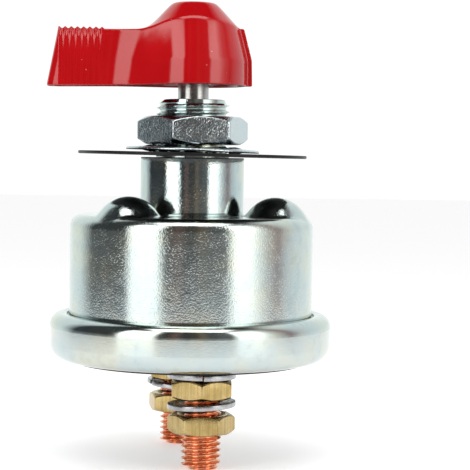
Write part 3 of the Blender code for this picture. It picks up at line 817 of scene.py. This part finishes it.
SHAFT_R = 4.0
SEAL_GROOVE_R = 2.8
NECK_R = 3.0
CLIP_GROOVE_R = 2.3
shaft_outline = profile(
    (0.0, 35.4),
    (SHAFT_R - 0.5, 35.4),
    (SHAFT_R, 34.9),
    (SHAFT_R, 9.9),
    (SEAL_GROOVE_R, 9.9),
    (SEAL_GROOVE_R, 8.1),
    (SHAFT_R, 8.1),
    (SHAFT_R, -26.0),
    (NECK_R, -26.0),
    (NECK_R, -34.8),
    (CLIP_GROOVE_R, -34.8),
    (CLIP_GROOVE_R, -35.6),
    (NECK_R, -35.6),
    (NECK_R, -37.1),
    (2.6, -37.5),
    (0.0, -37.5),
)
bar, _ = around(shaft_outline, 96)
shaft = skin("ground_shaft", bar, "rotor", sharp=30)
shaft.data.materials.append(steel)
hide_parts("shaft")


# The lever is die cast in zinc, hollow underneath, and coated glossy red. A round hub with a
# sloping top runs through a long fillet into a thin grip with eight ribs at its end, and a
# short rib opposite the grip points to the marks. A set screw from the back holds it.

LEVER_LOW = 18.6
GRIP_TOP = 32.72
HUB_TOP = 40.1
HUB_FLAT_R = 5.6
CONE_SLOPE = 1.1
GRIP_CORNER = -34.7
SPINE_END = -34.4
RIB_PITCH = 1.58
FIRST_RIB = -34.65
RIBS = 8
WALL = 1.9
HOLLOW_TOP = 27.4


def blend_max(a, b, width):
    """The larger of two values, rounded where they cross within width."""
    near = np.maximum(width - np.abs(a - b), 0) / width
    return np.maximum(a, b) + near**2 * width / 4


def grip_waves(x):
    """0 on a grip rib's crest and 1 in the groove beside it; 0 outside the ribbed end."""
    wave = 0.5 - 0.5 * np.cos(TURN * (x - FIRST_RIB) / RIB_PITCH)
    last = FIRST_RIB + (RIBS - 1) * RIB_PITCH
    return wave * np.clip((last + 0.2 - x) / 0.4, 0, 1) * np.clip((x - FIRST_RIB + 0.3) / 0.3, 0, 1)


def lever_top(x, y):
    """Height of the lever's top: a cone round a small flat for the hub, which a soft fillet
    carries down to the grip's level top with its ribs, and the pointer's top opposite."""
    r = np.hypot(x, y)
    cone = HUB_TOP - CONE_SLOPE * 0.5 * ((r - HUB_FLAT_R) + np.hypot(r - HUB_FLAT_R, 0.8))
    last = FIRST_RIB + (RIBS - 1) * RIB_PITCH
    crest = 0.50 * np.clip((last + 0.55 - x) / 0.5, 0, 1)
    grip = GRIP_TOP + crest - 0.45 * grip_waves(x)
    pointer = np.where(x > 4, 33.3, 0.0)
    return np.where(x < 0, blend_max(cone, grip, 3.4), blend_max(cone, pointer, 0.4))


def hub_radius(z):
    """The hub's front radius; its draft lessens towards the bottom."""
    return np.interp(z, [18.6, 25.0, 35.7], [13.7, 13.0, 9.6])


def half_grip(z):
    """Half the grip's width, which tapers upwards."""
    return np.interp(z, [LEVER_LOW, GRIP_TOP], [4.2, 3.3])


def flank(x, z):
    """Half the lever's width from the grip's end to the hub's middle. Its slope rises evenly
    from nothing, holds, and falls evenly to nothing where the hub is widest."""
    up = (z - LEVER_LOW) / (GRIP_TOP - LEVER_LOW)
    start, full, ease = -22.8 + 1.0 * up, -15.9 + 2.4 * up, -6.4 + 0.6 * up
    first = np.clip(x - start, 0, full - start) ** 2 / (2 * (full - start))
    second = np.clip(x - full, 0, ease - full)
    last = np.clip(x - ease, 0, -ease)
    total = (full - start) / 2 + (ease - full) - ease / 2
    share = (first + second + last + last**2 / (2 * ease)) / total
    return half_grip(z) + (hub_radius(z) - half_grip(z)) * share


def lever_side(x, y, z):
    """Below 0 inside the lever's plan at this height: the flanks with the fluted grip and
    its bulging end on one side, and half an ellipse with the pointer on the other."""
    stretch = np.interp(z, [18.6, 33.8], [1.0, 1.12])
    hub = np.hypot(x / stretch, y) - hub_radius(z)
    groove = np.interp(z, [18.6, 26.0, 30.0, 31.2, 33.0], [0.03, 0.05, 0.11, 0.27, 0.5]) * grip_waves(x)
    bulge = np.interp(z, [LEVER_LOW, GRIP_TOP], [3.1, 0.35])
    end = GRIP_CORNER - bulge * (1 - np.minimum(np.abs(y) / half_grip(z), 1) ** 4.5)
    grip = np.maximum(np.abs(y) - flank(x, z) + groove, end - x)
    tip = np.interp(z, [18.6, 25.2, 33.3], [15.15, 15.0, 12.9])
    pointer = np.maximum(np.maximum(np.abs(y) - 1.6, x - tip), -x)
    return np.where(x < 0, grip, -blend_max(-pointer, -hub, 0.8))


def reach(start_x, way, z):
    """How far the side lies along each ray from the lever's spine, found by halving."""
    near, far = 0 * z, 0 * z + 20.0
    for _ in range(34):
        middle = (near + far) / 2
        within = lever_side(start_x + middle * way[0], middle * way[1], z) < 0
        near, far = np.where(within, middle, near), np.where(within, far, middle)
    return (near + far) / 2


# Rays fan out round the hub, close together where the pointer meets it, and then stand
# side by side along the grip, close together on the ribs.
round_pointer = [np.linspace(0, 5.2, 6), np.linspace(5.5, 9.0, 18), np.linspace(10, 88.5, 56)]
fan = np.radians(np.concatenate(round_pointer))
along_grip = [np.linspace(0, -9.7, 24), np.linspace(-10, -22.2, 34), np.linspace(-22.4, SPINE_END, 104)]
spine = np.concatenate(along_grip)
shares = 1 - np.linspace(0, 1, 17) ** 1.6
start_x = np.concatenate([0 * fan, spine, 0 * shares + SPINE_END])


def ray_ways(z):
    """Unit directions of the rays at these heights: round the hub, straight across the grip,
    and on the grip's end towards evenly spaced places from its corner to its middle."""
    half = half_grip(z[..., -len(shares):])
    bulge = np.interp(z[..., -len(shares):], [LEVER_LOW, GRIP_TOP], [3.1, 0.35])
    end_x = GRIP_CORNER - bulge * (1 - shares**4.5) - SPINE_END
    end_y = shares * half
    length = np.hypot(end_x, end_y)
    flat = 0 * z[..., : len(fan)]
    level = 0 * z[..., len(fan) : len(fan) + len(spine)]
    way_x = np.concatenate([flat + np.cos(fan), level, end_x / length], -1)
    way_y = np.concatenate([flat + np.sin(fan), level + 1, end_y / length], -1)
    return way_x, way_y


def on_rays(distance, z):
    """Points at these distances along the rays, for the half on the +Y side."""
    way = ray_ways(z)
    return np.stack([start_x + distance * way[0], distance * way[1], z], -1)


# The edge is where side and top meet, found by letting each give the other's height.
edge_z = 0 * start_x + 33.0
for _ in range(12):
    edge_r = reach(start_x, ray_ways(edge_z), edge_z)
    edge = on_rays(edge_r, edge_z)
    edge_z = lever_top(edge[:, 0], edge[:, 1])
SOFT_EDGE = 0.5
rows = []
for share in np.linspace(0, 1, 34):
    distance = share * (edge_r - SOFT_EDGE)
    flat = on_rays(distance, edge_z)
    rows.append(np.stack([flat[:, 0], flat[:, 1], lever_top(flat[:, 0], flat[:, 1])], -1))
side_z = edge_z - SOFT_EDGE
side_r = reach(start_x, ray_ways(side_z), side_z)
side_row = on_rays(side_r, side_z)
corner_row = on_rays(edge_r, edge_z)
for t in (0.25, 0.5, 0.75):
    rows.append((1 - t) ** 2 * rows[33] + 2 * t * (1 - t) * corner_row + t**2 * side_row)
bottom_z = LEVER_LOW - 0.6 * np.clip(-start_x / 37.8, 0, 1)
for share in np.linspace(0, 1, 36):
    z = side_z + (bottom_z + 0.2 - side_z) * share
    rows.append(on_rays(reach(start_x, ray_ways(z), z), z))
low_r = reach(start_x, ray_ways(bottom_z), bottom_z)
room = np.minimum(low_r - WALL, 11.3)
underside = [(low_r - 0.05, 0.06), (low_r - 0.2, 0), (room + 0.3, 0), (room + 0.06, 0.08), (room, 0.35)]
rows += [on_rays(distance, bottom_z + rise) for distance, rise in underside]
for share in np.linspace(0.1, 1, 8):
    z = bottom_z + 0.35 + (HOLLOW_TOP - 0.3 - bottom_z - 0.35) * share
    rows.append(on_rays(room - 0.6 * share, z))
ceiling = 0 * bottom_z + HOLLOW_TOP
rows += [on_rays((room - 0.9) * share, ceiling) for share in np.linspace(1, 0, 7)]
half_lever = np.array(rows)
mirrored = half_lever[:, -2:0:-1] * np.array([1, -1, 1])
lever = skin("cast_lever", np.concatenate([half_lever, mirrored], 1), "rotor", sharp=60)
boss_outline = profile(
    (4.3, 28.4), (6.8, 28.4), (6.95, 19.2), (6.8, 19.0), (4.5, 19.0), (4.3, 19.2)
)
boss, _ = around(boss_outline, 72)
boss = skin("lever_boss", boss, "rotor", closed_rows=True)


def bored(piece, radius, start, end):
    """Drills a round hole between two points with an exact cut, and keeps the result."""
    middle = (np.array(start) + np.array(end)) / 2
    along = np.array(end) - np.array(start)
    length = np.linalg.norm(along)
    along = along / length
    across = np.cross(along, [0.3, 0.2, 0.9])
    across /= np.linalg.norm(across)
    beside = np.cross(along, across)
    angle = np.linspace(0, TURN, 40, endpoint=False)
    ring = np.cos(angle)[:, None] * across + np.sin(angle)[:, None] * beside
    steps = ((0, -0.5), (1, -0.5), (1, 0.5), (0, 0.5))
    drill_rows = [middle + size * radius * ring + where * length * along for size, where in steps]
    drill = skin("drill", np.array(drill_rows), "rotor")
    cut = piece.modifiers.new("Bore", "BOOLEAN")
    cut.operation = "DIFFERENCE"
    cut.object = drill
    cut.solver = "EXACT"
    view = bpy.context.evaluated_depsgraph_get()
    result = bpy.data.meshes.new_from_object(piece.evaluated_get(view))
    piece.modifiers.clear()
    piece.data = result
    bpy.data.objects.remove(drill)


bored(lever, 2.6, (0, 8.8, 25.5), (0, 17.0, 25.5))
lever = joined(lever, boss)
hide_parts("lever")

red, tree, shader, place = new_finish("glossy_red_coating")
shader.inputs["IOR"].default_value = 1.55
peel = noise(tree, place, 420.0, Detail=2.0, Roughness=0.4)
waves = noise(tree, place, 95.0, Detail=2.0)
tone = noise(tree, place, 70.0, Detail=3.0)
dust = add(tree, "ShaderNodeTexVoronoi", Vector=place, Scale=520.0)
rare = noise(tree, place, 240.0, Detail=1.0)
paint = ramp(tree, tone, [(0.3, (0.47, 0.0022, 0.0045, 1)), (0.7, (0.54, 0.003, 0.006, 1))])
facing = add(tree, "ShaderNodeSeparateXYZ", Vector=add(tree, "ShaderNodeNewGeometry").outputs["Normal"])
# Faces that look downwards are darkened to a deep red as painted shade, standing in for the little light that
# reaches the lever's underside. The same mask makes the coat there rougher and less shiny.
painted_shade_underside = ramp(tree, maths(tree, "MULTIPLY", facing.outputs[2], -1.0), [(0.80, 0.0), (0.95, 1.0)])
speck = maths(tree, "LESS_THAN", dust.outputs["Distance"], 0.10)
speck = maths(tree, "MULTIPLY", speck, maths(tree, "GREATER_THAN", rare, 0.60))
paint = mix(tree, maths(tree, "MULTIPLY", speck, 0.45), paint, (0.75, 0.35, 0.32, 1))
# Painted shade: the dark red laid over faces that look downwards.
paint = mix(tree, painted_shade_underside, paint, (0.14, 0.002, 0.003, 1))
gloss = ramp(tree, tone, [(0.3, 0.05), (0.7, 0.09)])
feed(tree, shader, Base_Color=paint, Roughness=maths(tree, "MULTIPLY_ADD", painted_shade_underside, 0.5, gloss))
feed(tree, shader, Specular_IOR_Level=maths(tree, "MULTIPLY_ADD", painted_shade_underside, -0.42, 0.5))
height = maths(tree, "MULTIPLY_ADD", waves, 7.0, peel)
emboss(tree, shader, 0.012, maths(tree, "MULTIPLY_ADD", speck, 0.6, height))
lever.data.materials.clear()
lever.data.materials.append(red)
refinish("lever_set_screw", spring_steel)


# The studio: a pale floor, a white surround and a tent round the switch. The tent is seen
# only in reflections. It has a tall soft light at each side of the camera, one overhead,
# dark flags between them and white cloth behind.

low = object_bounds()[0]
floor_z = low[2] - 0.0003
floor_mesh = bpy.data.meshes.new("floor")
FLOOR_HALF = 3.0
floor_corners = [(FLOOR_HALF * x, FLOOR_HALF * y, floor_z) for x, y in ((-1, -1), (1, -1), (1, 1), (-1, 1))]
floor_mesh.from_pydata(floor_corners, [], [(0, 1, 2, 3)])
floor = bpy.data.objects.new("floor", floor_mesh)
bpy.context.scene.collection.objects.link(floor)
floor_finish, tree, shader, _ = new_finish("pale_floor")
shader.inputs["Base Color"].default_value = (0.90, 0.90, 0.90, 1)
shader.inputs["Roughness"].default_value = 0.7
shader.inputs["Emission Color"].default_value = (1, 1, 1, 1)
path = add(tree, "ShaderNodeLightPath")
lift = maths(tree, "MULTIPLY", path.outputs["Is Camera Ray"], 0.36)
lift = maths(tree, "MULTIPLY_ADD", path.outputs["Is Glossy Ray"], 0.48, lift)
feed(tree, shader, Emission_Strength=lift)
floor_mesh.materials.append(floor_finish)

TENT_R = 0.36
azimuth = np.linspace(0, TURN, 96, endpoint=False)
elevation = np.linspace(np.arcsin(floor_z / TENT_R), np.pi / 2, 40)[:, None]
tent_points = np.stack(
    [
        TENT_R * np.cos(elevation) * np.cos(azimuth),
        TENT_R * np.cos(elevation) * np.sin(azimuth),
        TENT_R * np.sin(elevation) + 0 * azimuth,
    ],
    -1,
)
tent_mesh = grid_mesh("light_tent", tent_points)
tent = bpy.data.objects.new("light_tent", tent_mesh)
bpy.context.scene.collection.objects.link(tent)
for rays in ("camera", "diffuse", "shadow", "transmission"):
    setattr(tent, f"visible_{rays}", False)
tent_finish, tree, shader, place = new_finish("tent_cloth")
tree.nodes.remove(shader)
parts = add(tree, "ShaderNodeSeparateXYZ", Vector=place)
x, y, z = parts.outputs
forward = maths(tree, "MULTIPLY", y, -1.0)
bearing = maths(tree, "MULTIPLY_ADD", maths(tree, "ARCTAN2", x, forward), 1 / TURN, 0.5)
climb = maths(tree, "MULTIPLY_ADD", maths(tree, "ARCTAN2", z, forward), 1 / TURN, 0.5)


def degrees(*stops):
    """Ramp stops given by their bearing in degrees, 0 towards the camera and + to its right."""
    return [(bearing_degrees / 360 + 0.5, colour) for bearing_degrees, colour in stops]


cloth = ramp(
    tree,
    bearing,
    degrees(
        (-180, (0.66, 0.70, 0.69, 1)),
        (-122, (0.61, 0.66, 0.65, 1)),
        (-112, (0.36, 0.39, 0.39, 1)),
        (-103, (0.035, 0.04, 0.043, 1)),
        (-18, (0.035, 0.034, 0.034, 1)),
        (-12, (0.14, 0.085, 0.078, 1)),
        (-6, (0.04, 0.04, 0.04, 1)),
        (5, (0.05, 0.045, 0.042, 1)),
        (10, (0.15, 0.115, 0.085, 1)),
        (16, (0.07, 0.07, 0.07, 1)),
        (33, (0.11, 0.11, 0.11, 1)),
        (68, (0.56, 0.57, 0.56, 1)),
        (77, (0.36, 0.34, 0.34, 1)),
        (84, (0.24, 0.17, 0.17, 1)),
        (96, (0.48, 0.49, 0.50, 1)),
        (112, (0.58, 0.63, 0.65, 1)),
        (130, (0.62, 0.67, 0.67, 1)),
        (180, (0.66, 0.70, 0.69, 1)),
    ),
)
rise = maths(tree, "MULTIPLY_ADD", z, 0.5 / TENT_R, 0.5)
roof = ramp(tree, rise, [(0.88, 0.0), (0.95, 1.0)])
cloth = mix(tree, roof, cloth, (0.02, 0.02, 0.02, 1))
near_floor = ramp(tree, rise, [(0.42, 0.11), (0.484, 0.0)])
cloth = mix(tree, near_floor, cloth, (1, 1, 1, 1))
soft_lights = ramp(
    tree,
    bearing,
    degrees((-60.5, 0.0), (-56, 1.0), (-29, 1.0), (-24.5, 0.0), (33, 0.0), (37.5, 1.0), (55, 1.0), (69, 0.0)),
)
overhead = ramp(tree, climb, degrees((48, 0.0), (53, 1.0), (76, 1.0), (84, 0.0)))
sideways = maths(tree, "DIVIDE", maths(tree, "ABSOLUTE", x), TENT_R)
overhead = maths(tree, "MULTIPLY", overhead, ramp(tree, sideways, [(0.36, 1.0), (0.46, 0.0)]))
soft_lights = maths(tree, "MULTIPLY", soft_lights, ramp(tree, rise, [(0.81, 1.0), (0.89, 0.0)]))
lights = maths(tree, "MAXIMUM", soft_lights, overhead)
glow = mix(tree, lights, cloth, (0.99, 1.0, 0.98, 1))
brighter_up = ramp(tree, rise, [(0.455, 0.25), (0.77, 1.0)])
strength = maths(tree, "MULTIPLY", lights, brighter_up)
strength = maths(tree, "MULTIPLY_ADD", strength, 1.8, 1.6)
emission = add(tree, "ShaderNodeEmission", Color=glow, Strength=strength)
feed(tree, tree.nodes["Material Output"], Surface=emission.outputs[0])
tent_mesh.materials.append(tent_finish)


def soft_light(name, watts, size, at, aim):
    """A square area light that lights the pieces and isn't itself seen in them."""
    lamp = bpy.data.lights.new(name, "AREA")
    lamp.energy = watts
    lamp.size = size
    lamp_object = bpy.data.objects.new(name, lamp)
    bpy.context.scene.collection.objects.link(lamp_object)
    lamp_object.location = at
    toward = np.array(aim) - np.array(at)
    turn = math.atan2(toward[1], toward[0]) - math.pi / 2
    dip = math.atan2(toward[2], math.hypot(toward[0], toward[1]))
    lamp_object.rotation_euler = (math.pi / 2 + dip, 0, turn)
    lamp_object.visible_glossy = False


soft_light("left_light", 1.0, 0.35, (-0.45, -0.45, 0.25), (0, 0, 0))
soft_light("right_light", 0.8, 0.35, (0.5, -0.4, 0.2), (0, 0, 0))
soft_light("overhead_light", 0.8, 0.5, (0, -0.15, 0.6), (0, 0, 0))
world = bpy.data.worlds.new("white_surround")
world.use_nodes = True
surround = world.node_tree.nodes["Background"]
surround.inputs["Color"].default_value = (1, 1, 1, 1)
seen = add(world.node_tree, "ShaderNodeLightPath").outputs["Is Camera Ray"]
strength = maths(world.node_tree, "MULTIPLY_ADD", seen, 0.4, 0.65)
feed(world.node_tree, surround, Strength=strength)
bpy.context.scene.world = world
bpy.context.scene.view_settings.view_transform = "Standard"

# The camera stands level with the stem's shoulder and looks slightly down and to the right;
# the switch leans by less than a degree.
camera = bpy.data.cameras.new("camera")
camera.sensor_width = 36
camera.lens = 126.4
camera.clip_end = 20
camera_object = bpy.data.objects.new("camera", camera)
bpy.context.scene.collection.objects.link(camera_object)
camera_object.location = (0, -0.429, -0.0005)
down, right, lean = math.radians(2.6), math.radians(1.51), math.radians(0.8)
aim = Matrix.Rotation(-right, 3, "Z") @ Matrix.Rotation(math.pi / 2 - down, 3, "X")
camera_object.rotation_euler = (aim @ Matrix.Rotation(lean, 3, "Z")).to_euler()
bpy.context.scene.camera = camera_object
